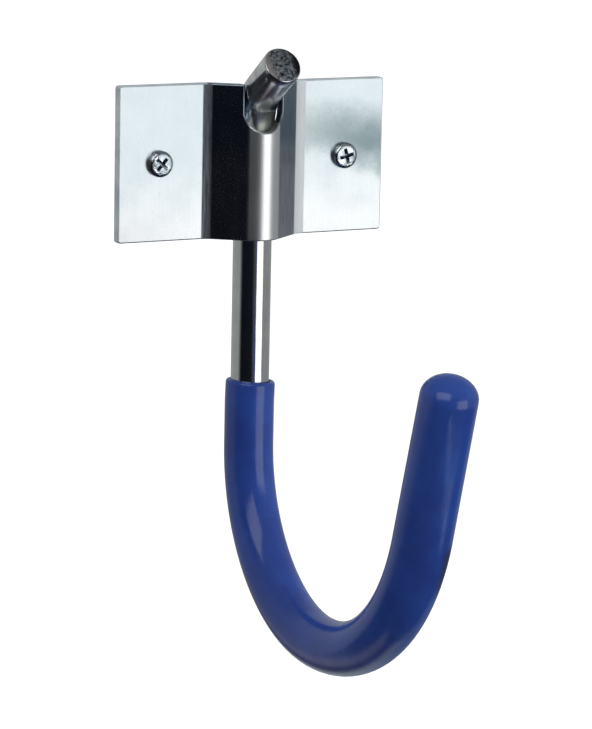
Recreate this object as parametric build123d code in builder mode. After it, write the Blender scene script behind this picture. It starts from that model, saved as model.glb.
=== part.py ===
from build123d import *

import os
from math import cos, hypot, radians, sin, tan

# A utility hook for a wall. A folded steel plate clamps a bent steel rod to the wall with two
# screws, and the lower part of the rod is coated in soft plastic.
#
# Frame, in millimetres: the wall is the plane Y = 0 and the hook reaches out along -Y. +Z is up,
# and +X is to the right for someone who faces the wall. The rod is bent in the plane X = 0, and
# Z = 0 is the middle of the plate's height. The back of the coating touches the wall, and only
# the screws reach behind it.

# Overall sizes
plate_width = 60.0
plate_height = 32.0
drop = 115.0  # the plate's top edge to the lowest point of the hook
projection = 95.0  # the wall to the foremost point of the hook
arm_height = 70.0  # the lowest point of the hook to the top of its front arm
rod_diameter = 8.0

# Plate
sheet = 2.0
flank_angle = 38.0  # slope of the ridge's two flanks
crest_inner_radius = 3.0
fold_inner_radius = 2.5
plate_corner_radius = 0.6
edge_round = 0.3  # the rounded edge that the press leaves on the plate's front
flange_setback = 1.5  # from the rod's back to the flanges, so that the screws clamp the rod
seat_gap = 0.05  # between the rod and each flank
notch_play = 0.3  # the notch is this much wider than the rod
notch_floor_gap = 3.7  # below the inside corner of the peg

# Peg, the bent top end of the rod
peg_rise = 35.0  # its angle above the horizontal
peg_length = 15.4  # from the corner of the rod's axis to the peg's end
peg_corner_drop = 4.0  # the corner of the rod's axis lies below the plate's top edge
peg_bend_radius = 9.0
peg_edge_break = 0.4

# Hook. The bend's first quarter turn, under the shank, is tighter than the rest.
back_bend_radius = 34.0
arm_lean = 16.5  # the front arm leans this far out of the vertical
rod_end_break = 0.8  # on the rod's end inside the coating

# Coating
coat_shank_length = 13.35  # coated straight length above the bend
coat_wall_top = 1.15
coat_wall_bend = 1.75  # where the bend meets the front arm
coat_wall_tip = 1.6
coat_lip_round = 0.7
tip_dome_height = 4.3
tip_cover = 2.2  # plastic beyond the rod's end

# Screws
screw_inset = 9.0  # from the plate's side edge
screw_hole_play = 0.5  # the plate's holes are this much wider than the thread
thread_diameter = 2.9
neck_diameter = 2.2
neck_clearance = 0.5  # the thread starts this far behind the plate
screw_length = 16.0
screw_point_length = 2.6
head_diameter = 5.4
head_height = 1.6
head_side_height = 1.3
head_rim_round = 0.8
recess_width = 3.4
recess_floor_width = 1.1
recess_depth = 1.2
recess_wing_width = 0.8
recess_turn_left = 48.0  # the angle at which each screw came to a stop
recess_turn_right = 14.0

os.makedirs("parts", exist_ok=True)

quarter_turn = 90.0
rod_radius = rod_diameter / 2
coat_radius_top = rod_radius + coat_wall_top
rod_y = -coat_radius_top
plate_top = plate_height / 2
screw_spacing = plate_width - 2 * screw_inset
lean = radians(arm_lean)
rise = radians(peg_rise)
flank = radians(flank_angle)

# Plate surfaces. The flanks touch the rod but for the seat gap, which sets the crest's height.
plate_back = rod_y + rod_radius - flange_setback
plate_front = plate_back - sheet
crest_outer_radius = crest_inner_radius + sheet
fold_outer_radius = fold_inner_radius + sheet
crest_corner = rod_y - (rod_radius + seat_gap + sheet) / cos(flank)
fold_corner = (plate_front - crest_corner) / tan(flank)
through_plate = -crest_corner  # how far the plate's cuts run each way from the wall


def plate_surface(depth):
    """Corners of the plate's section at this depth behind its front, from left to right."""
    surface_y = plate_front + depth
    fold_x = fold_corner - depth * tan(flank / 2)
    crest_y = crest_corner + depth / cos(flank)
    return [
        (-plate_width / 2, surface_y),
        (-fold_x, surface_y),
        (0, crest_y),
        (fold_x, surface_y),
        (plate_width / 2, surface_y),
    ]


# Peg. Its inside corner is where the peg's lower line meets the shank's front line.
peg_corner_z = plate_top - peg_corner_drop
peg_inside_corner_z = peg_corner_z - rod_radius * (1 / cos(rise) - tan(rise))
peg_turn = quarter_turn - peg_rise
peg_bend_reach = peg_bend_radius * tan(radians(peg_turn) / 2)
peg_end_y = rod_y - peg_length * cos(rise)
peg_end_z = peg_corner_z + peg_length * sin(rise)
notch_width = rod_diameter + notch_play
notch_floor = peg_inside_corner_z - notch_floor_gap
notch_bottom_z = notch_floor + notch_width / 2

# Hook. The lowest point, the foremost point and the arm's top fix where the tip's dome starts.
# The front bend is the arc that leads from the lowest point to an arm with the stated lean.
coat_radius_bend = rod_radius + coat_wall_bend
coat_radius_tip = rod_radius + coat_wall_tip
front_turn = quarter_turn - arm_lean
coat_growth = (coat_radius_bend - coat_radius_top) / (quarter_turn + front_turn)
coat_radius_low = coat_radius_top + coat_growth * quarter_turn
lowest = plate_top - drop
dome_reach = hypot(coat_radius_tip * cos(lean), tip_dome_height * sin(lean))
dome_rise = hypot(coat_radius_tip * sin(lean), tip_dome_height * cos(lean))
tip_y = dome_reach - projection
tip_z = lowest + arm_height - dome_rise
front_span = rod_y - back_bend_radius - tip_y
climb = tip_z - lowest - coat_radius_low
front_bend_radius = (front_span * cos(lean) - climb * sin(lean)) / (1 - sin(lean))
bend_top = lowest + coat_radius_low + back_bend_radius
arm_length = (climb - front_bend_radius * (1 - sin(lean))) / cos(lean)
rod_end_length = arm_length + tip_dome_height - tip_cover
print("front bend radius", round(front_bend_radius, 3), "arm length", round(arm_length, 3))
print("bend top", round(bend_top, 3), "peg end", round(peg_end_y, 3), round(peg_end_z, 3))

# The rod's axis, from the peg's end to the end inside the coating
with BuildLine(Plane.YZ) as rod_axis:
    peg_line = Line(
        (peg_end_y, peg_end_z),
        (rod_y - peg_bend_reach * cos(rise), peg_corner_z + peg_bend_reach * sin(rise)),
    )
    peg_bend = JernArc(peg_line @ 1, peg_line % 1, peg_bend_radius, -peg_turn)
    shank_line = Line(peg_bend @ 1, (rod_y, bend_top))
    back_bend = JernArc(shank_line @ 1, shank_line % 1, back_bend_radius, -quarter_turn)
    front_bend = JernArc(back_bend @ 1, back_bend % 1, front_bend_radius, -front_turn)
    arm_line = Line(front_bend @ 1, front_bend @ 1 + (front_bend % 1) * rod_end_length)

with BuildPart() as hook_rod:
    with BuildSketch(Plane(origin=peg_line @ 0, z_dir=peg_line % 0)):
        Circle(rod_radius)
    sweep(path=rod_axis.line)
    rims = hook_rod.edges().filter_by(GeomType.CIRCLE)
    chamfer(rims.sort_by_distance(peg_line @ 0)[0], peg_edge_break)
    chamfer(rims.sort_by_distance(arm_line @ 1)[0], rod_end_break)

hook_rod.part.label = "hook_rod"
export_step(hook_rod.part, "parts/hook_rod.step")

# Coating: a sleeve that thickens round the bend and closes over the rod's end in a low dome
low_section = Plane(origin=back_bend @ 1, z_dir=back_bend % 1)
arm_start = Plane(origin=front_bend @ 1, z_dir=front_bend % 1)
tip_start = arm_start.offset(arm_length)
tip_section = Plane(origin=tip_start.origin, x_dir=(1, 0, 0), z_dir=Vector(1, 0, 0).cross(tip_start.z_dir))

with BuildPart() as hook_coating:
    with BuildSketch(Plane.XY.offset(bend_top)):
        with Locations((0, rod_y)):
            Circle(coat_radius_top)
    extrude(amount=coat_shank_length)
    fillet(hook_coating.edges().sort_by(Axis.Z)[-1], coat_lip_round)
    with BuildSketch(Plane(origin=back_bend @ 0, z_dir=back_bend % 0)):
        Circle(coat_radius_top)
    with BuildSketch(low_section):
        Circle(coat_radius_low)
    sweep(path=back_bend, multisection=True)
    with BuildSketch(low_section):
        Circle(coat_radius_low)
    with BuildSketch(arm_start):
        Circle(coat_radius_bend)
    sweep(path=front_bend, multisection=True)
    with BuildSketch(arm_start):
        Circle(coat_radius_bend)
    with BuildSketch(tip_start):
        Circle(coat_radius_tip)
    loft()
    with BuildSketch(tip_section):
        with BuildLine():
            dome = EllipticalCenterArc((0, 0), coat_radius_tip, tip_dome_height, arc_size=quarter_turn)
            Polyline(dome @ 1, (0, 0), dome @ 0)
        make_face()
    revolve(axis=Axis(tip_start.origin, tip_start.z_dir))
    add(hook_rod.part, mode=Mode.SUBTRACT)

hook_coating.part.label = "hook_coating"
export_step(hook_coating.part, "parts/hook_coating.step")

# Plate: the folded section, then its corners, its notch, its rounded front edges and its screw holes
fold_radii = [fold_inner_radius, crest_outer_radius, fold_inner_radius]
back_radii = [fold_outer_radius, crest_inner_radius, fold_outer_radius]


def is_outline(edge, faces):
    """True for an edge that only one of these faces has."""
    return sum(any(edge.is_same(other) for other in face.edges()) for face in faces) == 1


with BuildPart() as mounting_plate:
    with BuildSketch(Plane.XY.offset(-plate_top)):
        with BuildLine():
            front_line = FilletPolyline(*plate_surface(0), radius=fold_radii)
            back_line = FilletPolyline(*plate_surface(sheet), radius=back_radii)
            Line(front_line @ 0, back_line @ 0)
            Line(front_line @ 1, back_line @ 1)
        make_face()
    extrude(amount=plate_height)
    fillet(mounting_plate.edges().filter_by(Axis.Y), plate_corner_radius)
    with BuildSketch(Plane.XZ):
        with Locations((0, notch_bottom_z)):
            Circle(notch_width / 2)
        with Locations((0, plate_top)):
            Rectangle(notch_width, 2 * (plate_top - notch_bottom_z))
    extrude(amount=through_plate, both=True, mode=Mode.SUBTRACT)
    front_shell = mounting_plate.faces().filter_by(lambda face: face.normal_at().Y < -cos(flank) / 2)
    fillet(front_shell.edges().filter_by(lambda edge: is_outline(edge, front_shell)), edge_round)
    with BuildSketch(Plane.XZ):
        with GridLocations(screw_spacing, 0, 2, 1):
            Circle((thread_diameter + screw_hole_play) / 2)
    extrude(amount=through_plate, both=True, mode=Mode.SUBTRACT)

mounting_plate.part.label = "mounting_plate"
export_step(mounting_plate.part, "parts/mounting_plate.step")

# Screws. Each one stands with its cross recess at an angle of its own.
thread_radius = thread_diameter / 2
neck_length = sheet + neck_clearance

screw_turns = {"screw_left": (-1, recess_turn_left), "screw_right": (1, recess_turn_right)}

for name, (side, recess_turn) in screw_turns.items():
    seat = Vector(side * screw_spacing / 2, plate_front, 0)
    with BuildPart() as screw:
        with BuildSketch(Plane(origin=seat, x_dir=(1, 0, 0), z_dir=(0, 0, -1))):
            with BuildLine():
                crown = TangentArc((0, head_height), (head_diameter / 2, head_side_height), tangent=(1, 0))
                Polyline(
                    crown @ 1,
                    (head_diameter / 2, 0),
                    (neck_diameter / 2, 0),
                    (neck_diameter / 2, -neck_length),
                    (thread_radius, -neck_length),
                    (thread_radius, screw_point_length - screw_length),
                    (0, -screw_length),
                    crown @ 0,
                )
            make_face()
        revolve(axis=Axis(seat, (0, -1, 0)))
        circles = screw.edges().filter_by(lambda edge: edge.is_closed)
        fillet(circles.sort_by(Axis.Y)[0], head_rim_round)
        for turn in (recess_turn, recess_turn + quarter_turn):
            across = Vector(cos(radians(turn)), 0, sin(radians(turn)))
            wing_plane = Plane(origin=seat, x_dir=across, z_dir=across.cross(Vector(0, -1, 0)))
            with BuildSketch(wing_plane):
                Polygon(
                    (-recess_width / 2, head_height),
                    (-recess_floor_width / 2, head_height - recess_depth),
                    (recess_floor_width / 2, head_height - recess_depth),
                    (recess_width / 2, head_height),
                    align=None,
                )
            extrude(amount=recess_wing_width / 2, both=True, mode=Mode.SUBTRACT)

    screw.part.label = name
    export_step(screw.part, f"parts/{name}.step")
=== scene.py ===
# %% [markdown]
# # A coated utility hook, dressed in Blender
#
# The hook is five pieces: a folded steel plate, a bent steel rod, a blue plastic coating on the
# rod's lower half and two small screws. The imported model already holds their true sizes, so this
# lesson starts by loading it. Everything made here uses the same frame, in metres: X runs to the
# right along the wall, Y runs into the wall and Z is up.

# %% Load the frame
from math import atan2, cos, hypot, pi, radians, sin, sqrt, tan

import bpy
from mathutils import Matrix, Vector


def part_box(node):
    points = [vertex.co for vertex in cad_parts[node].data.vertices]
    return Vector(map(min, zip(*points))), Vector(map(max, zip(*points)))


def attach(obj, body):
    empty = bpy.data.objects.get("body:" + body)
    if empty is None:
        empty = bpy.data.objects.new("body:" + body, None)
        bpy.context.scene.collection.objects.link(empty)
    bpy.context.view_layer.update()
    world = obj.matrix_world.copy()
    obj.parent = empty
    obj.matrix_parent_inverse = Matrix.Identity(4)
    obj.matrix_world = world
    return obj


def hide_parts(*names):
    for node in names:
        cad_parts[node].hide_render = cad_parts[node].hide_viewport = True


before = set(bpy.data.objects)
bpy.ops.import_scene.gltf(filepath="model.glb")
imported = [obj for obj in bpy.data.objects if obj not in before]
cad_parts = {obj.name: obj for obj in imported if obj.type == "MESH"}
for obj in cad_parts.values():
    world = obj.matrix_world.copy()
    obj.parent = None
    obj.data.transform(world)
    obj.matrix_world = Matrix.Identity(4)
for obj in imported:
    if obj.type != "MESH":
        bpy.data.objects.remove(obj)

bpy.context.view_layer.update()
bpy.ops.object.select_all(action="DESELECT")


def in_mm(*lengths, digits=2):
    """These lengths in millimetres, rounded for the prints."""
    return [round(length * 1000, digits) for length in lengths]


# %% [markdown]
# ## Sizes of the hook
#
# The boxes of the nodes give the outer limits. The few sizes typed here are those of the steel and
# of its bends. The rest, such as the radius of the wide front bend, follows from them, so the new
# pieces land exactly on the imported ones.

# %% Sizes
plate_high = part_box("mounting_plate")[1]
rod_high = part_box("hook_rod")[1]
coat_low, coat_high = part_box("hook_coating")

rod_radius = 0.004
rod_y = rod_high.y - rod_radius
peg_rise = radians(35)
peg_length = 0.0154
peg_corner_z = 0.012
peg_bend_radius = 0.009
back_bend_radius = 0.034
arm_lean = radians(16.5)

coat_radius_top = rod_radius + 0.00115
coat_radius_bend = rod_radius + 0.00175
coat_radius_tip = rod_radius + 0.0016
coat_top = -0.04602
dome_height = 0.0043
tip_cover = 0.0022

front_turn = pi / 2 - arm_lean
coat_growth = (coat_radius_bend - coat_radius_top) / (pi / 2 + front_turn)
coat_radius_low = coat_radius_top + coat_growth * pi / 2
dome_reach = hypot(coat_radius_tip * cos(arm_lean), dome_height * sin(arm_lean))
dome_rise = hypot(coat_radius_tip * sin(arm_lean), dome_height * cos(arm_lean))
tip_y = coat_low.y + dome_reach
tip_z = coat_high.z - dome_rise
front_span = rod_y - back_bend_radius - tip_y
climb = tip_z - coat_low.z - coat_radius_low
front_bend_radius = (front_span * cos(arm_lean) - climb * sin(arm_lean)) / (1 - sin(arm_lean))
bend_top = coat_low.z + coat_radius_low + back_bend_radius
arm_length = (climb - front_bend_radius * (1 - sin(arm_lean))) / cos(arm_lean)
print("bend radii in mm", in_mm(back_bend_radius, front_bend_radius))
print("arm length in mm", in_mm(arm_length), "tip at", in_mm(tip_y, tip_z))

# %% [markdown]
# ## The camera
#
# The photograph was taken from a little to the left of the hook and from slightly above it, with
# a long lens. The place, the three turns and the lens come from matching the plate's corners and
# the hook's outline. The sensor's 36 mm lie along the picture's long side.

# %% Camera
camera_place = (-0.30417, -0.62848, 0.09481)
camera_turn = radians(26.799)
camera_dip = radians(11.210)
camera_roll = radians(1.187)
lens_mm = 168.26
sensor_mm = 36
nearest = 0.01

bpy.ops.object.camera_add(location=camera_place)
camera = bpy.context.object
camera.name = "camera"
aim = Matrix.Rotation(-camera_turn, 3, "Z") @ Matrix.Rotation(pi / 2 - camera_dip, 3, "X")
camera.rotation_euler = (aim @ Matrix.Rotation(camera_roll, 3, "Z")).to_euler()
camera.data.lens = lens_mm
camera.data.sensor_width = sensor_mm
camera.data.clip_start = nearest
camera.data.dof.use_dof = False
bpy.context.scene.camera = camera
bpy.context.scene.view_settings.view_transform = "Standard"
print("camera looks along", [round(v, 3) for v in aim @ Vector((0, 0, -1))])


# %% [markdown]
# ## Helpers for shader nodes
#
# A material is a small network. These helpers keep its lines short: one adds a node with its
# settings, one joins an output to an input, and the others are sums, soft steps and mixes that
# take either a number or another node's output.

# %% Node helpers
def add_node(tree, kind, **settings):
    """A new node of this kind, with its settings."""
    node = tree.nodes.new(kind)
    for key, value in settings.items():
        setattr(node, key, value)
    return node


def feed(tree, value, target):
    """Puts a number, a colour or another node's output into an input."""
    if isinstance(value, bpy.types.NodeSocket):
        tree.links.new(value, target)
    elif isinstance(value, tuple) and target.type == "RGBA":
        target.default_value = (*value, 1)
    else:
        target.default_value = value


def math_node(tree, operation, *values):
    """A Math node fed with outputs or numbers. It returns its output."""
    node = add_node(tree, "ShaderNodeMath", operation=operation)
    for place, value in enumerate(values):
        feed(tree, value, node.inputs[place])
    return node.outputs[0]


def soft_step(tree, value, low, high, to_low=0.0, to_high=1.0):
    """A smooth change from to_low to to_high while value goes from low to high."""
    node = add_node(tree, "ShaderNodeMapRange", interpolation_type="SMOOTHSTEP", clamp=True)
    feeds = {"Value": value, "From Min": low, "From Max": high, "To Min": to_low, "To Max": to_high}
    for name, given in feeds.items():
        feed(tree, given, node.inputs[name])
    return node.outputs["Result"]


def mix_colours(tree, share, first, second):
    """A colour between two outputs or colours. It returns its output."""
    node = add_node(tree, "ShaderNodeMix", data_type="RGBA", clamp_factor=True)
    share_input, first_input, second_input = node.inputs[0], node.inputs[6], node.inputs[7]
    feed(tree, share, share_input)
    feed(tree, first, first_input)
    feed(tree, second, second_input)
    return node.outputs[2]


def split(tree, vector):
    """The X, Y and Z outputs of a vector."""
    node = add_node(tree, "ShaderNodeSeparateXYZ")
    feed(tree, vector, node.inputs[0])
    return node.outputs[0], node.outputs[1], node.outputs[2]


# %% [markdown]
# ## Floor and studio
#
# The hook was photographed in front of white paper. The floor here is a wide pale sheet well below
# the hook. Seen straight by the camera it is plain white, and it still takes the hook's soft
# shadow.

# %% Floor
floor_height = -0.42
floor_size = 16.0
paper_grey = 0.93
glow_grey = 0.75

bpy.ops.mesh.primitive_plane_add(size=floor_size, location=(0, 0, floor_height))
floor = bpy.context.object
floor.name = "floor"
floor.visible_glossy = False
floor.visible_diffuse = False
paper = bpy.data.materials.new("white paper")
paper.use_nodes = True
tree = paper.node_tree
tree.nodes.clear()
output = add_node(tree, "ShaderNodeOutputMaterial")
matt = add_node(tree, "ShaderNodeBsdfDiffuse")
feed(tree, (paper_grey, paper_grey, paper_grey), matt.inputs["Color"])
glow = add_node(tree, "ShaderNodeEmission")
feed(tree, add_node(tree, "ShaderNodeLightPath").outputs["Is Camera Ray"], glow.inputs["Strength"])
feed(tree, (glow_grey, glow_grey, glow_grey), glow.inputs["Color"])
both = add_node(tree, "ShaderNodeAddShader")
feed(tree, matt.outputs[0], both.inputs[0])
feed(tree, glow.outputs[0], both.inputs[1])
feed(tree, both.outputs[0], output.inputs["Surface"])
floor.data.materials.append(paper)
print("floor at", floor_height, "m")

# %% [markdown]
# ## The room that the metal mirrors
#
# Polished metal shows its surroundings, so what stands round the hook matters as much as its own
# finish. The bands on the rod tell what was there: an unlit room at the front left, a soft box at
# the front right, grey walls to both sides and white paper behind. The world is painted from a
# list of azimuths, where 0 is straight in front of the wall and 90 is to the right. A second list,
# stronger on the right, lights the matt part of each finish. The peg and the underside of the bend
# mirror the ground behind the hook, so that ground has a list of its own, from left to right.

# %% World directions
world = bpy.data.worlds.new("studio")
bpy.context.scene.world = world
world.use_nodes = True
tree = world.node_tree
tree.nodes.clear()
path = add_node(tree, "ShaderNodeLightPath")
looking = add_node(tree, "ShaderNodeTexCoord").outputs["Generated"]
rightwards, inwards, height = split(tree, looking)
azimuth = math_node(tree, "ARCTAN2", rightwards, math_node(tree, "MULTIPLY", inwards, -1))
round_about = math_node(tree, "ADD", math_node(tree, "DIVIDE", azimuth, 2 * pi), 0.5)
sideways = math_node(tree, "MULTIPLY_ADD", rightwards, 0.5, 0.5)


def colour_ramp(tree, share, first, last, stops):
    """A colour that follows a share. Each stop is a place between first and last and a colour."""
    node = add_node(tree, "ShaderNodeValToRGB")
    feed(tree, share, node.inputs["Fac"])
    ramp = node.color_ramp
    while len(ramp.elements) < len(stops):
        ramp.elements.new(0.5)
    for element, (stop, colour) in zip(ramp.elements, stops):
        element.position = (stop - first) / (last - first)
    for element, (stop, colour) in zip(ramp.elements, stops):
        element.color = (*colour, 1)
    return node.outputs["Color"]


print("world directions", len(tree.nodes), "nodes")

# %% [markdown]
# The three lists follow. In the first two each line starts with an azimuth in degrees. In the list
# of the ground it starts with how far the mirrored direction points to the right, from -1 to 1.

# %% World colours
mirrored_walls = colour_ramp(tree, round_about, -180, 180, [
    (-180, (0.36, 0.37, 0.36)),
    (-140, (0.31, 0.33, 0.32)),
    (-104, (0.30, 0.32, 0.32)),
    (-92, (0.11, 0.12, 0.12)),
    (-84, (0.004, 0.005, 0.009)),
    (-20, (0.007, 0.009, 0.014)),
    (-4, (0.08, 0.08, 0.09)),
    (40, (0.24, 0.24, 0.25)),
    (64, (0.27, 0.28, 0.29)),
    (104, (0.27, 0.28, 0.29)),
    (140, (0.36, 0.37, 0.36)),
])
matt_walls = colour_ramp(tree, round_about, -180, 180, [
    (-180, (0.50, 0.50, 0.51)),
    (-110, (0.50, 0.50, 0.51)),
    (-80, (0.05, 0.05, 0.055)),
    (-5, (0.05, 0.05, 0.055)),
    (50, (0.85, 0.86, 0.88)),
    (110, (0.95, 0.96, 0.98)),
    (150, (0.55, 0.55, 0.56)),
])
ground_behind = colour_ramp(tree, sideways, -1, 1, [
    (-0.60, (0.010, 0.010, 0.013)),
    (-0.48, (0.016, 0.017, 0.024)),
    (-0.43, (0.18, 0.18, 0.20)),
    (-0.37, (0.46, 0.45, 0.49)),
    (-0.25, (0.46, 0.45, 0.49)),
    (-0.15, (0.24, 0.23, 0.27)),
    (-0.06, (0.08, 0.08, 0.10)),
    (0.05, (0.14, 0.14, 0.16)),
    (0.14, (0.42, 0.44, 0.46)),
    (0.28, (0.52, 0.60, 0.62)),
    (0.48, (0.25, 0.31, 0.36)),
    (0.60, (0.17, 0.21, 0.27)),
])
print("world lists made,", len(tree.nodes), "nodes")

# %% [markdown]
# The lists are joined by direction: ceiling above, ground below, walls between. What a polished
# face mirrors is the dark room, all else takes the matt light, and the camera sees plain white.

# %% World light
ground_in_front = (0.012, 0.010, 0.014)
mirrored_ceiling = (0.20, 0.21, 0.22)
matt_ceiling = (0.35, 0.35, 0.36)
matt_ground = (0.15, 0.15, 0.16)
white = (1.0, 1.0, 1.0)

ceiling_share = soft_step(tree, height, 0.50, 0.72)
ground_share = soft_step(tree, height, -0.28, -0.42)
behind = soft_step(tree, inwards, 0.08, 0.20)
mirrored_ground = mix_colours(tree, behind, ground_in_front, ground_behind)
mirrored = mix_colours(tree, ceiling_share, mirrored_walls, mirrored_ceiling)
mirrored = mix_colours(tree, ground_share, mirrored, mirrored_ground)
matt_light = mix_colours(tree, ceiling_share, matt_walls, matt_ceiling)
matt_light = mix_colours(tree, ground_share, matt_light, matt_ground)
seen_by_mirror = mix_colours(tree, path.outputs["Is Glossy Ray"], matt_light, mirrored)
seen = mix_colours(tree, path.outputs["Is Camera Ray"], seen_by_mirror, white)
background = add_node(tree, "ShaderNodeBackground")
feed(tree, seen, background.inputs["Color"])
output = add_node(tree, "ShaderNodeOutputWorld")
feed(tree, background.outputs[0], output.inputs["Surface"])
print("world nodes", len(tree.nodes))

# %% [markdown]
# ## Soft boxes
#
# Two soft boxes give the white stripes. The front one makes the plate's flanges shine and draws
# the long stripe down the rod and the shank of the coating. The high one on the left gives the
# small white window on the tip and at the bend.

# %% Soft boxes
aimed_at = Vector((0, -0.04, -0.03))
box_radiance = 1.55


def area_lamp(name, place, width, height, radiance):
    """A rectangular lamp that is this bright per area, and that the camera doesn't see."""
    bpy.ops.object.light_add(type="AREA", location=place)
    lamp = bpy.context.object
    lamp.name = name
    lamp.data.shape = "RECTANGLE"
    lamp.data.size = width
    lamp.data.size_y = height
    lamp.data.energy = radiance * pi * width * height
    lamp.visible_camera = False
    print(name, "at", [round(v, 2) for v in lamp.location], "power", round(lamp.data.energy, 2))
    return lamp


def soft_box(name, azimuth, elevation, distance, width, height):
    """A lamp that faces the hook from this direction. Azimuth 0 is straight in front."""
    a, e = radians(azimuth), radians(elevation)
    towards = Vector((sin(a) * cos(e), -cos(a) * cos(e), sin(e)))
    lamp = area_lamp(name, aimed_at + towards * distance, width, height, box_radiance)
    lamp.rotation_euler = towards.to_track_quat("Z", "Y").to_euler()


soft_box("front soft box", 26, -4, 0.85, 0.60, 0.62)
soft_box("high soft box", -46, 39, 0.9, 0.80, 0.56)

# %% [markdown]
# ## The low strip
#
# A faint line runs down the arm in the photograph. The rays that it mirrors all meet one straight
# line in space, low in front of the hook and running away to the right, like the lit edge of a
# table. Two narrow lamps stand on that line, the far one wider. Only the gloss sees them, so they
# draw the line and leave the colour of the plastic alone.

# %% Low strip
strip_near = Vector((-0.0219, -0.1551, -0.0876))
strip_middle = Vector((0.0894, -0.1880, -0.1659))
strip_far = Vector((0.3677, -0.2703, -0.3615))
strip_radiance = 2.4
strip_blue = (0.55, 0.76, 1.0)
arm_middle = Vector((0, -0.091, -0.045))
for start, end, width in ((strip_near, strip_middle, 0.005), (strip_middle, strip_far, 0.012)):
    run = end - start
    lamp = area_lamp("low strip", (start + end) / 2, run.length, width, strip_radiance)
    facing = lamp.location - arm_middle
    facing = (facing - facing.project(run)).normalized()
    along = run.normalized()
    turn = Matrix((along, facing.cross(along), facing)).transposed()
    lamp.rotation_euler = turn.to_euler()
    lamp.data.color = strip_blue
    lamp.visible_diffuse = False

# %% [markdown]
# ## Small steps in edit mode
#
# The same few steps shape every piece. The first helpers choose what the next operator works on:
# one piece, or the points of a mesh that lie in a certain place.


# %% Choosing helpers
def choose(*pieces):
    """Selects only these pieces. The last one becomes the active one."""
    bpy.ops.object.select_all(action="DESELECT")
    for piece in pieces:
        piece.select_set(True)
    bpy.context.view_layer.objects.active = pieces[-1]


def apply_place():
    """Writes the chosen piece's place, turn and size into its mesh."""
    bpy.ops.object.transform_apply(location=True, rotation=True, scale=True)


def edit_only(piece):
    """Makes this piece the only selected one and opens it in edit mode with nothing selected."""
    choose(piece)
    bpy.ops.object.mode_set(mode="EDIT")
    bpy.ops.mesh.select_all(action="DESELECT")


def close_edit():
    """Back to object mode with nothing selected."""
    bpy.ops.object.mode_set(mode="OBJECT")
    bpy.ops.object.select_all(action="DESELECT")


def pick_points(piece, test):
    """Selects the points that pass a test of their place, and tells how many. In edit mode."""
    bpy.ops.mesh.select_mode(type="VERT")
    bpy.ops.mesh.select_all(action="DESELECT")
    bpy.ops.object.mode_set(mode="OBJECT")
    for point in piece.data.vertices:
        point.select = test(point.co)
    count = sum(point.select for point in piece.data.vertices)
    bpy.ops.object.mode_set(mode="EDIT")
    return count


# %% [markdown]
# Turning, scaling and extruding act on what is selected. With no window an operator can't ask for
# its pivot, so every turn and every scaling is told its centre.

# %% Move helpers
def turn_about(pivot, axis, angle):
    """Turns what is selected about an axis of the frame through a point."""
    bpy.ops.transform.rotate(
        value=angle, orient_axis=axis, orient_type="GLOBAL", center_override=pivot
    )


def scale_about(pivot, x, y, z):
    """Scales what is selected along X, Y and Z from a point."""
    bpy.ops.transform.resize(value=(x, y, z), center_override=pivot)


def extrude_by(step):
    """Extrudes what is selected by this step."""
    bpy.ops.mesh.extrude_region_move(TRANSFORM_OT_translate={"value": step})


# %% [markdown]
# A mesh is finished by closing its open rings, by turning all faces outwards and, where one is
# used, by applying a modifier. The last helper prints what came out.

# %% Closing helpers
def face_out():
    """Turns all faces of the open mesh outwards."""
    bpy.ops.mesh.select_all(action="SELECT")
    bpy.ops.mesh.normals_make_consistent(inside=False)


def close_holes(poke=False):
    """Fills every open ring of the mesh. A poked cap is made of triangles round its middle."""
    bpy.ops.mesh.select_all(action="DESELECT")
    bpy.ops.mesh.select_mode(type="EDGE")
    bpy.ops.mesh.select_non_manifold()
    bpy.ops.mesh.edge_face_add()
    if poke:
        bpy.ops.mesh.poke()
    face_out()


def finish_with(piece, kind, **settings):
    """Adds a modifier with its settings and applies it."""
    bpy.context.view_layer.objects.active = piece
    modifier = piece.modifiers.new(kind.lower(), kind)
    for key, value in settings.items():
        setattr(modifier, key, value)
    bpy.ops.object.modifier_apply(modifier=modifier.name)


def report_piece(piece):
    """Prints how many triangles a piece has and its box in millimetres."""
    corners = [v.co for v in piece.data.vertices]
    low = in_mm(*(min(c[i] for c in corners) for i in range(3)))
    high = in_mm(*(max(c[i] for c in corners) for i in range(3)))
    triangles = sum(len(p.vertices) - 2 for p in piece.data.polygons)
    print(piece.name, "triangles", triangles, "box", low, high)


# %% [markdown]
# ## Rings along a line
#
# The rod, the coating and the screws are drawn, dipped or turned shapes: rings along a line. A ring
# of edges is extruded a step, turned square to the line and scaled to the new radius, and the last
# ring is closed. It is the way a tube is drawn by hand, and each ring can have its own width.

# %% Ring helpers
least_turn = 1e-9


def start_ring(name, station, sides):
    """A new object in edit mode with one ring. A station is a centre, a direction and a radius."""
    centre, along, radius = station
    bpy.ops.mesh.primitive_circle_add(vertices=sides, radius=radius, location=centre)
    piece = bpy.context.object
    piece.name = name
    piece.rotation_euler = along.to_track_quat("Z", "X").to_euler()
    apply_place()
    bpy.ops.object.mode_set(mode="EDIT")
    bpy.ops.mesh.select_all(action="SELECT")
    return piece


def next_ring(before, after):
    """Extrudes the ring from one station to the next. Lines lie in a plane X = constant."""
    old_centre, old_along, old_radius = before
    centre, along, radius = after
    extrude_by(centre - old_centre)
    turn = atan2(along.z, along.y) - atan2(old_along.z, old_along.y)
    if abs(turn) > least_turn:
        turn_about(centre, "X", -turn)
    share = radius / old_radius
    scale_about(centre, share, share, share)


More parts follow.
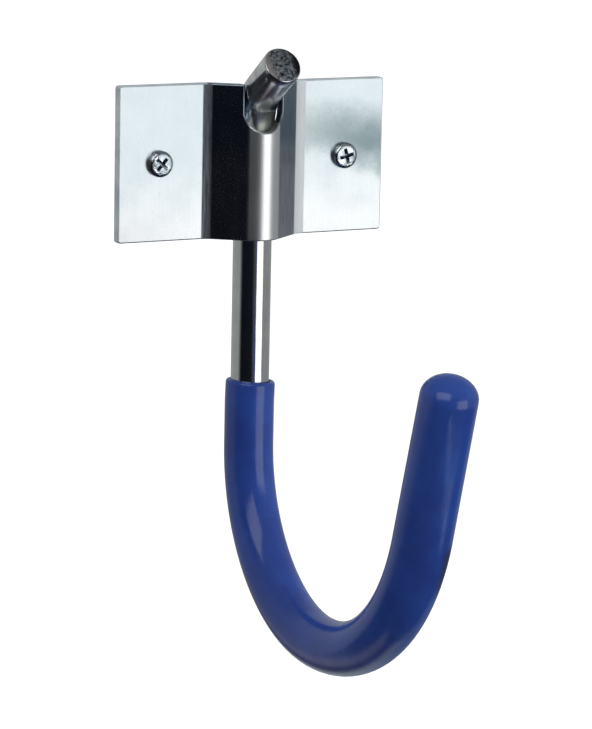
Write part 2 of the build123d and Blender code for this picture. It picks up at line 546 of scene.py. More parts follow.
def ring_tube(name, stations, sides):
    """A tube through these stations, left in object mode. Its first ring is still open."""
    piece = start_ring(name, stations[0], sides)
    bpy.ops.mesh.edge_face_add()
    bpy.ops.mesh.select_all(action="SELECT")
    for before, after in zip(stations, stations[1:]):
        next_ring(before, after)
    face_out()
    bpy.ops.object.mode_set(mode="OBJECT")
    bpy.ops.object.shade_smooth()
    return piece


# %% [markdown]
# ## The hook's line
#
# The rod's axis is a row of straight runs and bends, all in one plane: the peg, the tight bend
# through the plate, the shank, the back bend, the wide front bend and the arm. A short walk along
# these runs gives the centre and the direction at any distance from the peg's end.

# %% Hook line
peg_turn = pi / 2 - peg_rise
peg_reach = peg_bend_radius * tan(peg_turn / 2)
shank_top = peg_corner_z - peg_reach
peg_end_y = rod_y - peg_length * cos(peg_rise)
peg_end = Vector((0, peg_end_y, peg_corner_z + peg_length * sin(peg_rise)))

runs = [
    (peg_length - peg_reach, None),
    (peg_bend_radius * peg_turn, peg_bend_radius),
    (shank_top - bend_top, None),
    (back_bend_radius * pi / 2, back_bend_radius),
    (front_bend_radius * front_turn, front_bend_radius),
    (arm_length + dome_height, None),
]


def hook_line(distance):
    """Centre and direction of the rod's axis at this distance from the peg's end."""
    place, heading = peg_end.copy(), -peg_rise
    for length, radius in runs:
        step = min(distance, length)
        if radius is None:
            place = place + Vector((0, cos(heading), sin(heading))) * step
        else:
            centre = place + Vector((0, sin(heading), -cos(heading))) * radius
            heading = heading - step / radius
            place = centre - Vector((0, sin(heading), -cos(heading))) * radius
        distance -= step
        if distance <= 0:
            break
    return place, Vector((0, cos(heading), sin(heading)))


def ring_at(distance, radius, towards_peg=False):
    """A station on the hook's line, for a tube drawn towards the tip or towards the peg."""
    centre, along = hook_line(distance)
    return centre, -along if towards_peg else along, radius


def spaced(start, end, step):
    """Even distances from start to end, without the start, no more than a step apart."""
    count = max(1, round((end - start) / step))
    return [start + (end - start) * place / count for place in range(1, count + 1)]


print("runs of the line in mm", in_mm(*(length for length, radius in runs), digits=1))

# %% [markdown]
# Adding up the runs tells at which distance each bend starts, and where the plastic's lip and the
# rod's lower end lie.

# %% Distances along the line
peg_bend_at = runs[0][0]
shank_at = peg_bend_at + runs[1][0]
lip_at = shank_at + shank_top - coat_top
back_bend_at = shank_at + runs[2][0]
front_bend_at = back_bend_at + runs[3][0]
arm_at = front_bend_at + runs[4][0]
arm_end_at = arm_at + arm_length
rod_end_at = arm_end_at + dome_height - tip_cover
print("lip, arm and rod end along the line in mm", in_mm(lip_at, arm_at, rod_end_at, digits=1))

# %% [markdown]
# ## Rod
#
# The rod is one length of 8 mm drawn steel bar. It was sawn off, given a small break at the edges
# and bent cold in three places. The rings stand close together in the bends and further apart on
# the straight runs. A cold bend squeezes the bar a little wider, so the rings behind the notch are
# widened in three small steps. The same distances are used again for the bore of the coating, so
# the plastic fits the steel everywhere.

# %% Rod
sides = 64
bend_step = 0.0022
straight_step = 0.005
tight_step = 0.0006
edge_break = ((0, 0.0036), (0.0001, 0.00375), (0.00025, 0.00389), (0.0005, 0.004))
end_break = ((0.0008, 0.004), (0.0004, 0.0037), (0, 0.0032))
squeeze_middle = 0.0083
squeeze_reaches = (0.0036, 0.0026, 0.0016)
squeeze_share = 1.02
sharp_over = radians(34)

coated = spaced(lip_at, back_bend_at, straight_step)
coated += spaced(back_bend_at, front_bend_at, bend_step)
coated += spaced(front_bend_at, arm_at, bend_step)
coated += spaced(arm_at, arm_end_at, straight_step)

bare = spaced(edge_break[-1][0], peg_bend_at, bend_step)
bare += spaced(peg_bend_at, shank_at, tight_step)
bare += spaced(shank_at, lip_at, straight_step)

stations = [ring_at(distance, radius) for distance, radius in edge_break]
stations += [ring_at(distance, rod_radius) for distance in bare + coated]
stations += [ring_at(rod_end_at - before_end, radius) for before_end, radius in end_break]
rod = ring_tube("rod_steel", stations, sides)
edit_only(rod)
close_holes()
bend_front = rod_y - 2 * rod_radius
for reach in squeeze_reaches:
    pick_points(rod, lambda co: abs(co.z - squeeze_middle) < reach and co.y > bend_front)
    scale_about((0, rod_y, squeeze_middle), squeeze_share, 1, 1)
close_edit()
bpy.ops.object.shade_smooth_by_angle(angle=sharp_over)
bpy.ops.object.select_all(action="DESELECT")
report_piece(rod)

# %% [markdown]
# ## Coating
#
# The blue skin is soft plastic, made by dipping the hot rod into liquid vinyl. The skin is thin at
# the top edge, thicker towards the arm where the plastic ran, and ends in a low dome. It could be a
# curve with a bevel, but its wall changes all the way, so it is drawn ring by ring: up the bore,
# over the rounded lip, down the outside and over the tip. The lip is left a little slanted, because
# the surface of the bath was never quite square to the rod.


# %% Coating radius
def coat_radius(distance):
    """Outer radius of the coating at this distance along the line."""
    if distance < back_bend_at:
        return coat_radius_top
    if distance < arm_at:
        share = (distance - back_bend_at) / (arm_at - back_bend_at)
        return coat_radius_top + (coat_radius_bend - coat_radius_top) * share
    share = (distance - arm_at) / arm_length
    return coat_radius_bend + (coat_radius_tip - coat_radius_bend) * share


print("coating radius in mm", in_mm(*(coat_radius(at) for at in (lip_at, front_bend_at, arm_at))))

# %% [markdown]
# The skin's rings are listed first and drawn in one go: the bore upwards from the rod's end, half
# a circle over the lip, the outside downwards and the dome over the tip. The two open ends are
# closed, and the lip is then tilted in three small steps, so the slant fades out below it.

# %% Coating
bore_radius = rod_radius + 0.00001
lip_round = 0.0007
lip_step = 30
dome_step = 9
lip_slants = (("Y", radians(-1.2)), ("X", radians(0.2)))
slant_depths = (0.0042, 0.0028, 0.0014)
near_rod = 0.006

stations = [ring_at(rod_end_at + bore_radius - rod_radius, bore_radius, towards_peg=True)]
stations += [ring_at(distance, bore_radius, towards_peg=True) for distance in reversed(coated)]
up = Vector((0, 0, 1))
wall_middle = (coat_radius_top + bore_radius) / 2
lip_half = (coat_radius_top - bore_radius) / 2
for angle in range(0, 181, lip_step):
    a = radians(angle)
    centre, along = hook_line(lip_at + lip_round * (1 - sin(a)))
    stations.append((centre, up, wall_middle - lip_half * cos(a)))
stations += [ring_at(distance, coat_radius(distance), towards_peg=True) for distance in coated]
tip_middle, tip_along = hook_line(arm_end_at)
for angle in range(dome_step, 90, dome_step):
    a = radians(angle)
    centre = tip_middle + tip_along * dome_height * sin(a)
    stations.append((centre, -tip_along, coat_radius_tip * cos(a)))

coating = ring_tube("coating_skin", stations, sides)
edit_only(coating)
close_holes(poke=True)
for depth in slant_depths:
    slant_from = coat_top - depth
    pick_points(coating, lambda co: co.z > slant_from and abs(co.y - rod_y) < near_rod)
    for axis, slant in lip_slants:
        turn_about((0, rod_y, slant_from), axis, slant)
close_edit()

sides_of_lip = {
    "left": lambda co: co.x < -bore_radius,
    "right": lambda co: co.x > bore_radius,
    "front": lambda co: co.y < rod_y - bore_radius,
    "back": lambda co: co.y > rod_y + bore_radius,
}
on_shank = [v.co for v in coating.data.vertices if abs(v.co.y - rod_y) < near_rod]
for side, test in sides_of_lip.items():
    print("lip at the", side, in_mm(max(co.z for co in on_shank if test(co))))
report_piece(coating)

# %% [markdown]
# ## Screws
#
# The screws are small pan head tapping screws with a cross recess. The blank is turned: a low
# crowned head with a rounded rim, a plain neck and a pointed core. The thread was rolled on, and
# here it is a small triangle carried round the core by the Screw modifier. Only one screw is made.

# %% Screw sizes
screw_x = 0.021
head_seat = plate_high.y - 0.002
head_radius = 0.0027
head_height = 0.0016
head_top = head_seat - head_height
crown_radius = 0.0123
rim_round = 0.0008
neck_radius = 0.0011
core_radius = 0.00105
neck_end = -0.00215
core_end = 0.00825
cone_start = 0.00875
screw_tip = 0.01135
print("head sits at", in_mm(head_seat), "mm and its top is at", in_mm(head_top), "mm")

# %% [markdown]
# The blank is drawn like the rod, but along a straight line from the point to the head. Its
# stations follow the turned outline: cone, core, neck, flat seat, rounded rim and low crown. A
# lathe would make the same shape from a profile. Rings keep the way of working the same.

# %% Screw blank
core_step = 0.0025
rim_step = 8
crown_shares = (0.92, 0.84, 0.76, 0.68, 0.60, 0.52, 0.44, 0.36, 0.28, 0.20, 0.12, 0.05)

outline = [
    (screw_tip, 0.00005),
    (0.0108, 0.00022),
    (0.0099, 0.00058),
    (0.0092, 0.00084),
    (cone_start, core_radius * 0.97),
    (core_end, core_radius),
]
outline += [(y, core_radius) for y in spaced(core_end, neck_end + 0.0004, core_step)]
outline += [
    (neck_end, neck_radius),
    (head_seat + 0.0003, neck_radius),
    (head_seat + 0.0001, neck_radius + 0.00006),
    (head_seat, neck_radius + 0.0002),
    (head_seat, head_radius - 0.00012),
    (head_seat - 0.00004, head_radius - 0.00003),
    (head_seat - 0.00012, head_radius),
]
sphere_y = head_top + crown_radius
rim_r = head_radius - rim_round
rim_y = sphere_y - sqrt((crown_radius - rim_round) ** 2 - rim_r ** 2)
for angle in range(0, 81, rim_step):
    a = radians(angle)
    outline.append((rim_y - rim_round * sin(a), rim_r + rim_round * cos(a)))
crown_edge = crown_radius * rim_r / (crown_radius - rim_round)
for share in crown_shares:
    r = crown_edge * share
    outline.append((sphere_y - sqrt(crown_radius ** 2 - r ** 2), r))

toward_head = Vector((0, -1, 0))
stations = [(Vector((0, y, 0)), toward_head, radius) for y, radius in outline]
screw = ring_tube("screw_left_steel", stations, sides)
edit_only(screw)
close_holes()
close_edit()
report_piece(screw)

# %% [markdown]
# The cross recess is cut with a tapered cross, the shape of the punch that makes it in a real
# head. The cross starts as a small cube whose four sides are drawn out, and its deep end is then
# made smaller. A Boolean modifier takes it out of the head.

# %% Cross recess
wing_width = 0.0008
wing_span = 0.0034
recess_depth = 0.0012
recess_taper = 0.36
punch_above = 0.0006
punch_length = recess_depth + punch_above
nearly = 0.00001

recess_floor = head_top + recess_depth
bpy.ops.mesh.primitive_cube_add(size=1, location=(0, recess_floor - punch_length / 2, 0))
punch = bpy.context.object
punch.scale = (wing_width, punch_length, wing_width)
apply_place()
edit_only(punch)
wing_reach = (wing_span - wing_width) / 2
half = wing_width / 2
for x, z in ((1, 0), (-1, 0), (0, 1), (0, -1)):
    pick_points(punch, lambda co: (
        co.x * x + co.z * z > half - nearly and abs(co.x * z + co.z * x) < half + nearly
    ))
    bpy.ops.mesh.select_mode(type="FACE")
    extrude_by((x * wing_reach, 0, z * wing_reach))
deep = pick_points(punch, lambda co: co.y > recess_floor - nearly)
scale_about((0, head_top, 0), recess_taper, 1, recess_taper)
top = pick_points(punch, lambda co: co.y < head_top)
widen = 1 + (1 - recess_taper) * punch_above / recess_depth
scale_about((0, head_top, 0), widen, 1, widen)
face_out()
close_edit()
print("punch has", deep, "points at its deep end and", top, "at its top")

finish_with(screw, "BOOLEAN", operation="DIFFERENCE", object=punch, solver="EXACT")
bpy.data.objects.remove(punch)
report_piece(screw)

# %% [markdown]
# A tapping screw's thread is rolled: the steel is pressed up into one thin ridge that winds round
# the core and fades out at the point. A triangle carried round by the Screw modifier gives the
# ridge, and its sections are made smaller one by one towards both ends.

# %% Thread
pitch = 0.0011
thread_turns = 10
turn_steps = 24
crest_radius = 0.00145
profile_radius = 0.0003
thread_start = -0.0019
corners = 3
first_share = 0.82
growing_sections = 12
fading_turns = 3

bpy.ops.mesh.primitive_circle_add(
    vertices=corners,
    radius=profile_radius,
    location=(crest_radius - profile_radius, 0, 0),
    rotation=(pi / 2, pi / 2, 0),
)
thread = bpy.context.object
apply_place()
finish_with(
    thread, "SCREW", axis="Z", screw_offset=pitch, iterations=thread_turns,
    steps=turn_steps, render_steps=turn_steps,
)
second = thread.data.vertices[corners + 1].co
print("second section of the thread in mm", in_mm(*second, digits=3))
edit_only(thread)
for section in range(len(thread.data.vertices) // corners):
    height = section * pitch / turn_steps
    beyond = height + thread_start - cone_start + pitch
    end_share = min(section, growing_sections) / growing_sections
    tip_share = 1 - max(0, beyond) / (fading_turns * pitch)
    share = min(first_share + (1 - first_share) * end_share, tip_share)
    if share < 1:
        bpy.ops.mesh.select_all(action="DESELECT")
        bpy.ops.object.mode_set(mode="OBJECT")
        for place in range(corners):
            thread.data.vertices[section * corners + place].select = True
        bpy.ops.object.mode_set(mode="EDIT")
        scale_about((0, 0, height), share, share, 1)
close_holes()
bpy.ops.object.mode_set(mode="OBJECT")
thread.rotation_euler = (-pi / 2, 0, 0)
thread.location = (0, thread_start, 0)
apply_place()
choose(thread, screw)
bpy.ops.object.join()
bpy.ops.object.shade_smooth_by_angle(angle=sharp_over)
report_piece(screw)

# %% [markdown]
# The second screw is a copy with a mesh of its own. Nobody stops two screws at the same angle, so
# each is turned by what the photograph shows before it is moved to its hole.

# %% Both screws
turn_left = radians(48)
turn_right = radians(14)
bpy.ops.object.duplicate(linked=False)
other = bpy.context.object
other.name = "screw_right_steel"
for piece, x, recess_turn in ((screw, -screw_x, turn_left), (other, screw_x, turn_right)):
    choose(piece)
    piece.rotation_euler = (0, -recess_turn, 0)
    piece.location = (x, 0, 0)
    apply_place()
    report_piece(piece)
bpy.ops.object.select_all(action="DESELECT")

# %% [markdown]
# ## Effects shared by the finishes
#
# Three small node groups are used again and again: soft blotches with fine specks, drawn lines
# with scratches, and a soft-edged band along one measure. They only make masks. Each material
# decides what the masks do to its colour, roughness and bump.


# %% Group helpers
def new_group(name, inputs, outputs):
    """An empty node group with these sockets. It returns the group, its inputs and its outputs."""
    group = bpy.data.node_groups.new(name, "ShaderNodeTree")
    for label in inputs:
        kind = "NodeSocketVector" if label == "Vector" else "NodeSocketFloat"
        group.interface.new_socket(label, in_out="INPUT", socket_type=kind)
    for label in outputs:
        group.interface.new_socket(label, in_out="OUTPUT", socket_type="NodeSocketFloat")
    given = add_node(group, "NodeGroupInput").outputs
    return group, given, add_node(group, "NodeGroupOutput").inputs


def noise(tree, vector, scale, detail, roughness):
    """A Noise texture. It returns its value from 0 to 1."""
    node = add_node(tree, "ShaderNodeTexNoise")
    feeds = {"Vector": vector, "Scale": scale, "Detail": detail, "Roughness": roughness}
    for name, value in feeds.items():
        feed(tree, value, node.inputs[name])
    return node.outputs[0]


# %% [markdown]
# The first group holds two noises: a wide one for blotches, and a fine one for specks and grain.

# %% Blotches and specks
clouds, given, result = new_group(
    "clouds_and_specks", ("Vector", "Blotch Scale", "Speck Scale"), ("Blotches", "Specks", "Grain")
)
blotch = noise(clouds, given["Vector"], given["Blotch Scale"], 4, 0.6)
speck = noise(clouds, given["Vector"], given["Speck Scale"], 2, 0.7)
feed(clouds, soft_step(clouds, blotch, 0.34, 0.66), result["Blotches"])
feed(clouds, soft_step(clouds, speck, 0.60, 0.72), result["Specks"])
feed(clouds, speck, result["Grain"])
print(clouds.name, len(clouds.nodes), "nodes")

# %% [markdown]
# Drawn lines are a noise whose places are squeezed along Z, so each grain is pulled into a thread.
# A scratch lies where a wider noise passes its middle value.

# %% Drawn lines
lines, given, result = new_group(
    "drawn_lines", ("Vector", "Line Scale", "Stretch"), ("Lines", "Scratches")
)
squeeze = add_node(lines, "ShaderNodeCombineXYZ")
for axis, value in (("X", 1.0), ("Y", 1.0), ("Z", given["Stretch"])):
    feed(lines, value, squeeze.inputs[axis])
drawn = add_node(lines, "ShaderNodeVectorMath", operation="MULTIPLY")
feed(lines, given["Vector"], drawn.inputs[0])
feed(lines, squeeze.outputs[0], drawn.inputs[1])
fine = noise(lines, drawn.outputs[0], given["Line Scale"], 3, 0.65)
wide_scale = math_node(lines, "MULTIPLY", given["Line Scale"], 0.37)
wide = noise(lines, drawn.outputs[0], wide_scale, 1, 0.5)
from_middle = math_node(lines, "ABSOLUTE", math_node(lines, "SUBTRACT", wide, 0.5))
feed(lines, soft_step(lines, fine, 0.30, 0.70), result["Lines"])
feed(lines, soft_step(lines, from_middle, 0.012, 0.0), result["Scratches"])
print(lines.name, len(lines.nodes), "nodes")

# %% [markdown]
# A band is 1 while its measure lies between two values, and fades out softly on both sides.

# %% Soft band
band, given, result = new_group("soft_band", ("Value", "Low", "High", "Softness"), ("Mask",))
low_end = math_node(band, "SUBTRACT", given["Low"], given["Softness"])
high_end = math_node(band, "ADD", given["High"], given["Softness"])
rise = soft_step(band, given["Value"], low_end, given["Low"])
fall = soft_step(band, given["Value"], high_end, given["High"])
feed(band, math_node(band, "MULTIPLY", rise, fall), result["Mask"])
print(band.name, len(band.nodes), "nodes")


# %% [markdown]
# A material starts with a Principled shader and Object coordinates, which stick to the piece. An
# effect is placed in it as a group, with scales of its own.

# %% Material helpers
def new_material(name):
    """A material with a Principled shader, and its tree, shader and Object coordinates."""
    material = bpy.data.materials.new(name)
    material.use_nodes = True
    tree = material.node_tree
    place = add_node(tree, "ShaderNodeTexCoord").outputs["Object"]
    return material, tree, tree.nodes["Principled BSDF"].inputs, place


def use_group(tree, group, **values):
    """The group placed in a material, with its inputs set by name. It returns its outputs."""
    node = add_node(tree, "ShaderNodeGroup", node_tree=group)
    for name, value in values.items():
        feed(tree, value, node.inputs[name.replace("_", " ")])
    return node.outputs


def masked(tree, value, low, high, softness):
    """A mask that is 1 while value lies between low and high."""
    return use_group(tree, band, Value=value, Low=low, High=high, Softness=softness)["Mask"]


# %% [markdown]
# The last helpers stack up what the masks do: masks on masks, layers of colour, shifts of
# roughness and bumps on bumps.

# %% Layer helpers
def times(tree, first, *others):
    """The product of masks and numbers."""
    for value in others:
        first = math_node(tree, "MULTIPLY", first, value)
    return first


def layered(tree, colour, *layers):
    """A colour under layers, the last one on top. A layer is a mask and its colour."""
    for mask, over in layers:
        colour = mix_colours(tree, mask, colour, over)
    return colour


def shifted(tree, value, *shifts):
    """A value with shifts added. A shift is a mask and what it adds where the mask is 1."""
    for mask, amount in shifts:
        value = math_node(tree, "MULTIPLY_ADD", mask, amount, value)
    return value


def bumped(tree, height, distance, strength, under=None):
    """A bumped normal, on top of another one if it is given."""
    node = add_node(tree, "ShaderNodeBump")
    node.inputs["Strength"].default_value = strength
    node.inputs["Distance"].default_value = distance
    feed(tree, height, node.inputs["Height"])
    if under is not None:
        feed(tree, under, node.inputs["Normal"])
    return node.outputs[0]


# %% [markdown]
# ## Blue plastic
#
# Dipped vinyl is one even colour with a soft gloss. What breaks it up are faint flow waves left
# by the bath, a grain as fine as dust, and rub marks on the inside of the bend where hung things
# slide. The waves and the grain are bump, the rub marks dull the gloss and lift the colour a
# touch. A dark patch is also painted low on the right of the front bend, and its gloss is dulled
# there.

# %% Blue plastic
plastic, tree, shader, place = new_material("blue dipped plastic")
x, y, z = split(tree, place)
marks = use_group(tree, clouds, Vector=place, Blotch_Scale=85.0, Speck_Scale=2600.0)
waves = use_group(tree, clouds, Vector=place, Blotch_Scale=210.0, Speck_Scale=900.0)
rubs = use_group(tree, lines, Vector=place, Line_Scale=900.0, Stretch=0.35)
deep_blue = (0.030, 0.072, 0.36)
even_blue = (0.034, 0.098, 0.45)
worn_blue = (0.045, 0.115, 0.46)
dark_patch_blue = (0.010, 0.016, 0.080)
rub_share = 0.12
vinyl_ior = 1.5

seat = masked(tree, z, bend_top - back_bend_radius, bend_top - 0.024, 0.006)
worn = times(tree, seat, rubs["Scratches"], rub_share)
# A dark patch painted low on the right of the front bend, with duller gloss.
dark_patch_height = masked(tree, z, -0.0715, -0.0655, 0.0045)
dark_patch_right = soft_step(tree, x, 0.0012, 0.0036)
dark_patch_front = soft_step(tree, y, -0.0765, -0.0840)
dark_patch = times(tree, dark_patch_height, dark_patch_right, dark_patch_front)
blue = mix_colours(tree, marks["Blotches"], deep_blue, even_blue)
blue = layered(tree, blue, (worn, worn_blue), (dark_patch, dark_patch_blue))
feed(tree, blue, shader["Base Color"])
shader["IOR"].default_value = vinyl_ior
gloss = soft_step(tree, waves["Blotches"], 0, 1, 0.15, 0.21)
feed(tree, shifted(tree, gloss, (dark_patch, 0.3), (worn, 0.2)), shader["Roughness"])
flow = bumped(tree, marks["Blotches"], 0.00008, 0.35)
feed(tree, bumped(tree, waves["Grain"], 0.00001, 0.25, flow), shader["Normal"])

coating.data.materials.append(plastic)
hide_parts("hook_coating")
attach(coating, "root")
print("plastic nodes", len(tree.nodes))

# %% [markdown]
# ## Zinc on the sheet
#
# The plate is zinc plated sheet with a bright blue passivation: almost white where it faces the
# light, with a breath of cyan, tiny dark specks and fine upright roller lines. The press left its
# own marks: the left fold is scuffed to a dull grey, and a smoky stain runs across the right
# flange. The ridge's flanks are painted darker, darkest towards the top. The crest carries a
# painted highlight, and painted light makes the right fold pale. All of these follow the place
# on the plate, so they are masks made from the Object coordinates.

# %% Places on the sheet
crest_half = 0.0036
fold_at = 0.0097
flange_at = 0.0105
side_cut_at = 0.0297
top_cut_at = 0.0158

sheet, tree, shader, place = new_material("zinc sheet")
x, y, z = split(tree, place)
away = math_node(tree, "ABSOLUTE", x)
marks = use_group(tree, clouds, Vector=place, Blotch_Scale=130.0, Speck_Scale=1500.0)
dust = use_group(tree, clouds, Vector=place, Blotch_Scale=900.0, Speck_Scale=4600.0)
roller = use_group(tree, lines, Vector=place, Line_Scale=2200.0, Stretch=0.06)
front = soft_step(tree, y, -0.0036, -0.0043)
crest_highlight = soft_step(tree, away, 0.0040, 0.0032)
flanks = masked(tree, away, crest_half, fold_at, 0.0004)
dark_flank = masked(tree, x, -fold_at, -0.0040, 0.0006)
dull_fold = times(tree, masked(tree, x, -0.01125, -0.0098, 0.0003), front)
lit_fold = times(tree, masked(tree, x, 0.0096, 0.0116, 0.0005), front)
right_flange = times(tree, math_node(tree, "GREATER_THAN", x, fold_at), front)
upper = soft_step(tree, z, 0.0005, 0.0055)
on_flanges = math_node(tree, "GREATER_THAN", away, flange_at)
cut_top = times(tree, math_node(tree, "GREATER_THAN", z, top_cut_at), on_flanges)
cut_side = math_node(tree, "GREATER_THAN", away, side_cut_at)
cut_edge = math_node(tree, "MAXIMUM", cut_side, cut_top)
print("sheet masks made with", len(tree.nodes), "nodes")

# %% [markdown]
# The stain is a soft band across the right flange. It slopes, sags towards the edge, gets wider
# and darker there, and its border is made uneven by the blotches.

# %% Smoky stain
smoke_middle = 0.0083
smoke_slope = 0.16
sag_start = 0.016
smoke_sag = 9.0
smoke_waves = 0.0022
smoke_width = 0.0078
smoke_spread = 0.12

cloudy = math_node(tree, "SUBTRACT", marks["Blotches"], 0.5)
to_edge = math_node(tree, "MAXIMUM", math_node(tree, "SUBTRACT", x, sag_start), 0.0)
off_middle = shifted(
    tree, math_node(tree, "SUBTRACT", z, smoke_middle),
    (x, smoke_slope),
    (math_node(tree, "POWER", to_edge, 2), smoke_sag),
    (cloudy, smoke_waves),
)
smoke_half = math_node(tree, "MULTIPLY_ADD", to_edge, smoke_spread, smoke_width)
smoke_height = soft_step(tree, math_node(tree, "ABSOLUTE", off_middle), smoke_half, 0.0)
smoke_reach = soft_step(tree, x, 0.002, 0.029, 0.22, 0.83)
smoke = times(tree, smoke_height, smoke_reach, right_flange)
print("sheet nodes so far", len(tree.nodes))

# %% [markdown]
# The colours are laid over each other like coats: plating first, then roller lines, the stain,
# specks, freckles and grain, the painted highlight on the crest, the darker flanks, the scuffed
# left fold and the pale painted light on the right fold. The sheared faces come last. They are
# duller and less metallic, because a cut edge is torn and not rolled.

# %% Zinc sheet
lit_zinc = (0.690, 0.706, 0.710)
cyan_zinc = (0.540, 0.604, 0.622)
drift = math_node(tree, "MULTIPLY_ADD", cloudy, 0.004, z)
zinc = mix_colours(tree, soft_step(tree, drift, -0.015, 0.002), lit_zinc, cyan_zinc)
speck_share = math_node(tree, "MULTIPLY_ADD", smoke, 0.40, 0.32)
freckle_share = math_node(tree, "MULTIPLY_ADD", smoke, 0.50, 0.03)
freckles = soft_step(tree, marks["Grain"], 0.53, 0.66)
# The flanks are painted darker, darkest towards the top.
darker_flank_zinc = mix_colours(tree, upper, (0.50, 0.51, 0.56), (0.18, 0.30, 0.38))
darker_flank_zinc = mix_colours(tree, roller["Lines"], darker_flank_zinc, (0.33, 0.35, 0.40))
scuffed = mix_colours(tree, roller["Lines"], (0.13, 0.145, 0.17), (0.31, 0.33, 0.36))
sheared = mix_colours(tree, marks["Blotches"], (0.88, 0.97, 1.0), (0.62, 0.70, 0.75))
zinc = layered(
    tree, zinc,
    (times(tree, roller["Lines"], 0.13), (0.45, 0.50, 0.53)),
    (smoke, (0.085, 0.140, 0.152)),
    (times(tree, dust["Specks"], speck_share), (0.22, 0.27, 0.28)),
    (times(tree, freckles, freckle_share), (0.15, 0.20, 0.22)),
    (times(tree, marks["Grain"], 0.16), (0.38, 0.44, 0.46)),
    # painted highlight on the crest
    (crest_highlight, (0.84, 0.86, 0.85)),
    (flanks, darker_flank_zinc),
    (dull_fold, scuffed),
    # painted light: the right fold is painted pale
    (lit_fold, (0.96, 1.0, 1.0)),
    (cut_edge, sheared),
)
feed(tree, zinc, shader["Base Color"])
metallic = shifted(tree, 1.0, (cut_edge, -0.75), (lit_fold, -0.6))
feed(tree, metallic, shader["Metallic"])
rough = shifted(
    tree, soft_step(tree, marks["Blotches"], 0, 1, 0.29, 0.31),
    (dark_flank, -0.11),
    (times(tree, dust["Specks"], dark_flank), 0.16),
    (crest_highlight, 0.05),
    (lit_fold, 0.32),
    (dull_fold, 0.34),
    (cut_edge, 0.08),
)
feed(tree, rough, shader["Roughness"])
rolled = bumped(tree, roller["Lines"], 0.000004, 0.25)
feed(tree, bumped(tree, marks["Grain"], 0.00001, 0.2, rolled), shader["Normal"])
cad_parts["mounting_plate"].material_slots[0].material = sheet
print("sheet nodes", len(tree.nodes))

# %% [markdown]
# ## Zinc on the rod
#
# Drawn bar is smoother than sheet, so the room shows in it as sharp bands. Faint lines run along
# the bar. The peg was handled most: it is browner and blotched. Under it, on the front half only,
# the bending tool left a dull pressed patch, which is also painted dark as shade under the peg. A
# painted highlight runs along its crease, with painted shade above it. The peg's end is the raw
# saw cut, dark and mottled, with a few bright torn grains.

# %% Places on the rod
drawn_zinc, tree, shader, place = new_material("zinc rod")
x, y, z = split(tree, place)
marks = use_group(tree, clouds, Vector=place, Blotch_Scale=260.0, Speck_Scale=2100.0)
torn = use_group(tree, clouds, Vector=place, Blotch_Scale=1500.0, Speck_Scale=3200.0)
bar_lines = use_group(tree, lines, Vector=place, Line_Scale=1500.0, Stretch=0.05)["Lines"]

saw_depth = 0.00008
peg_along = add_node(tree, "ShaderNodeVectorMath", operation="DOT_PRODUCT")
feed(tree, place, peg_along.inputs[0])
peg_along.inputs[1].default_value = (0, -cos(peg_rise), sin(peg_rise))
cut_at = -peg_end.y * cos(peg_rise) + peg_end.z * sin(peg_rise) - saw_depth
sawn = math_node(tree, "GREATER_THAN", peg_along.outputs["Value"], cut_at)
on_peg = soft_step(tree, z, 0.0065, 0.0115)
off_peg = math_node(tree, "SUBTRACT", 1.0, on_peg)
shank_lines = times(tree, bar_lines, off_peg)
front_half = soft_step(tree, y, rod_y, rod_y - 0.002)
pressed_side = times(tree, soft_step(tree, x, -0.0028, 0.0006), front_half)
# A real pressed patch, also painted dark as shade under the peg.
pressed_patch_and_shade = times(tree, masked(tree, z, 0.0046, 0.0104, 0.0003), pressed_side)
# painted shade above the crease, on the peg's underside
shade_above_crease = times(tree, masked(tree, z, 0.0110, 0.0126, 0.0012), pressed_side, 0.6)
# painted highlight along the crease
crease_highlight = times(tree, masked(tree, z, 0.01040, 0.01055, 0.00008), pressed_side, 0.7)
print("rod masks made with", len(tree.nodes), "nodes")

# %% [markdown]
# The rod's colours are laid on in the same way: zinc, its lines and specks, the handled peg, the
# pressed patch with its painted shade, the painted shade above it, the painted highlight on the
# crease, and the saw cut on top.

# %% Zinc rod
zinc = mix_colours(tree, marks["Blotches"], (0.80, 0.81, 0.80), (0.73, 0.74, 0.74))
handled = mix_colours(tree, marks["Blotches"], (0.97, 1.0, 1.0), (0.74, 0.69, 0.73))
pressed_and_shaded_zinc = mix_colours(tree, bar_lines, (0.31, 0.34, 0.30), (0.20, 0.22, 0.20))
saw_marks = layered(
    tree, mix_colours(tree, torn["Blotches"], (0.012, 0.013, 0.02), (0.44, 0.48, 0.51)),
    (torn["Specks"], (0.85, 0.92, 0.90)),
    (soft_step(tree, x, -0.0012, -0.0036), (0.40, 0.36, 0.36)),
    (soft_step(tree, x, 0.0018, 0.0030), (0.02, 0.02, 0.03)),
)
zinc = layered(
    tree, zinc,
    (times(tree, bar_lines, 0.16), (0.40, 0.41, 0.43)),
    (times(tree, marks["Specks"], 0.3), (0.25, 0.26, 0.29)),
    (on_peg, handled),
    (pressed_patch_and_shade, pressed_and_shaded_zinc),
    (shade_above_crease, (0.20, 0.24, 0.27)),
    (crease_highlight, (0.95, 1.0, 0.97)),
    (sawn, saw_marks),
)
feed(tree, zinc, shader["Base Color"])
shader["Metallic"].default_value = 1
rough = soft_step(tree, shank_lines, 0, 1, 0.10, 0.15)
rough = shifted(tree, rough, (on_peg, 0.09), (pressed_patch_and_shade, 0.30), (sawn, 0.25))
feed(tree, rough, shader["Roughness"])
relief = bumped(tree, shank_lines, 0.000004, 0.3)
deep_cut = times(tree, torn["Blotches"], sawn)
feed(tree, bumped(tree, deep_cut, 0.00008, 0.6, relief), shader["Normal"])
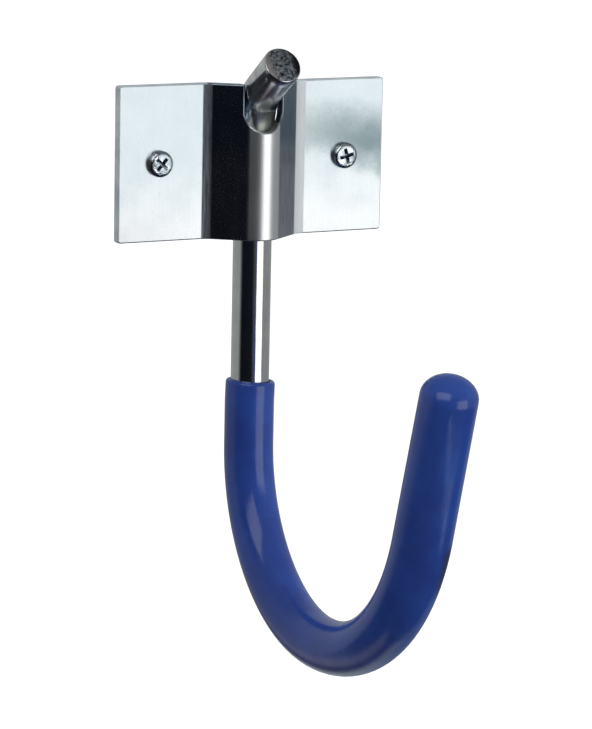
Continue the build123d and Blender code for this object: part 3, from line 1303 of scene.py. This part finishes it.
rod.data.materials.append(drawn_zinc)
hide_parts("hook_rod")
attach(rod, "root")
print("rod nodes", len(tree.nodes))

# %% [markdown]
# ## Zinc on the screws
#
# The screws are barrel plated, so they are the brightest pieces. The recess is painted darker by
# its place, as painted shade: near the screw's axis and below the crown.

# %% Zinc screws
bright_zinc, tree, shader, place = new_material("zinc screw")
x, y, z = split(tree, place)
marks = use_group(tree, clouds, Vector=place, Blotch_Scale=700.0, Speck_Scale=3000.0)
turned = use_group(tree, lines, Vector=place, Line_Scale=2600.0, Stretch=1.0)
# painted shade in the cross recess
recess_shade = (0.24, 0.29, 0.33)
recess_reach = wing_span / 2 + 0.0001

across = math_node(tree, "SUBTRACT", math_node(tree, "ABSOLUTE", x), screw_x)
squares = [math_node(tree, "POWER", side, 2) for side in (across, z)]
reach = math_node(tree, "SQRT", math_node(tree, "ADD", *squares))
near_axis = math_node(tree, "LESS_THAN", reach, recess_reach)
below_crown = masked(tree, y, head_top + 0.00030, head_seat, 0.00015)
shaded_recess = times(tree, near_axis, below_crown)
zinc = layered(
    tree, mix_colours(tree, marks["Blotches"], (0.78, 0.83, 0.86), (0.34, 0.41, 0.46)),
    (times(tree, turned["Scratches"], 0.5), (0.35, 0.38, 0.40)),
    (shaded_recess, recess_shade),
)
feed(tree, zinc, shader["Base Color"])
shader["Metallic"].default_value = 1
rough = soft_step(tree, marks["Blotches"], 0, 1, 0.12, 0.20)
feed(tree, shifted(tree, rough, (shaded_recess, 0.2)), shader["Roughness"])
uneven = bumped(tree, marks["Blotches"], 0.00009, 0.45)
feed(tree, bumped(tree, marks["Grain"], 0.00001, 0.2, uneven), shader["Normal"])
for piece, node in ((screw, "screw_left"), (other, "screw_right")):
    piece.data.materials.clear()
    piece.data.materials.append(bright_zinc)
    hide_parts(node)
    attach(piece, "root")
print("screw nodes", len(tree.nodes))

# %% [markdown]
# ## Finish
#
# The last step updates the view layer. The new pieces have to stay inside the model's box.

# %% Finish
bpy.context.view_layer.update()
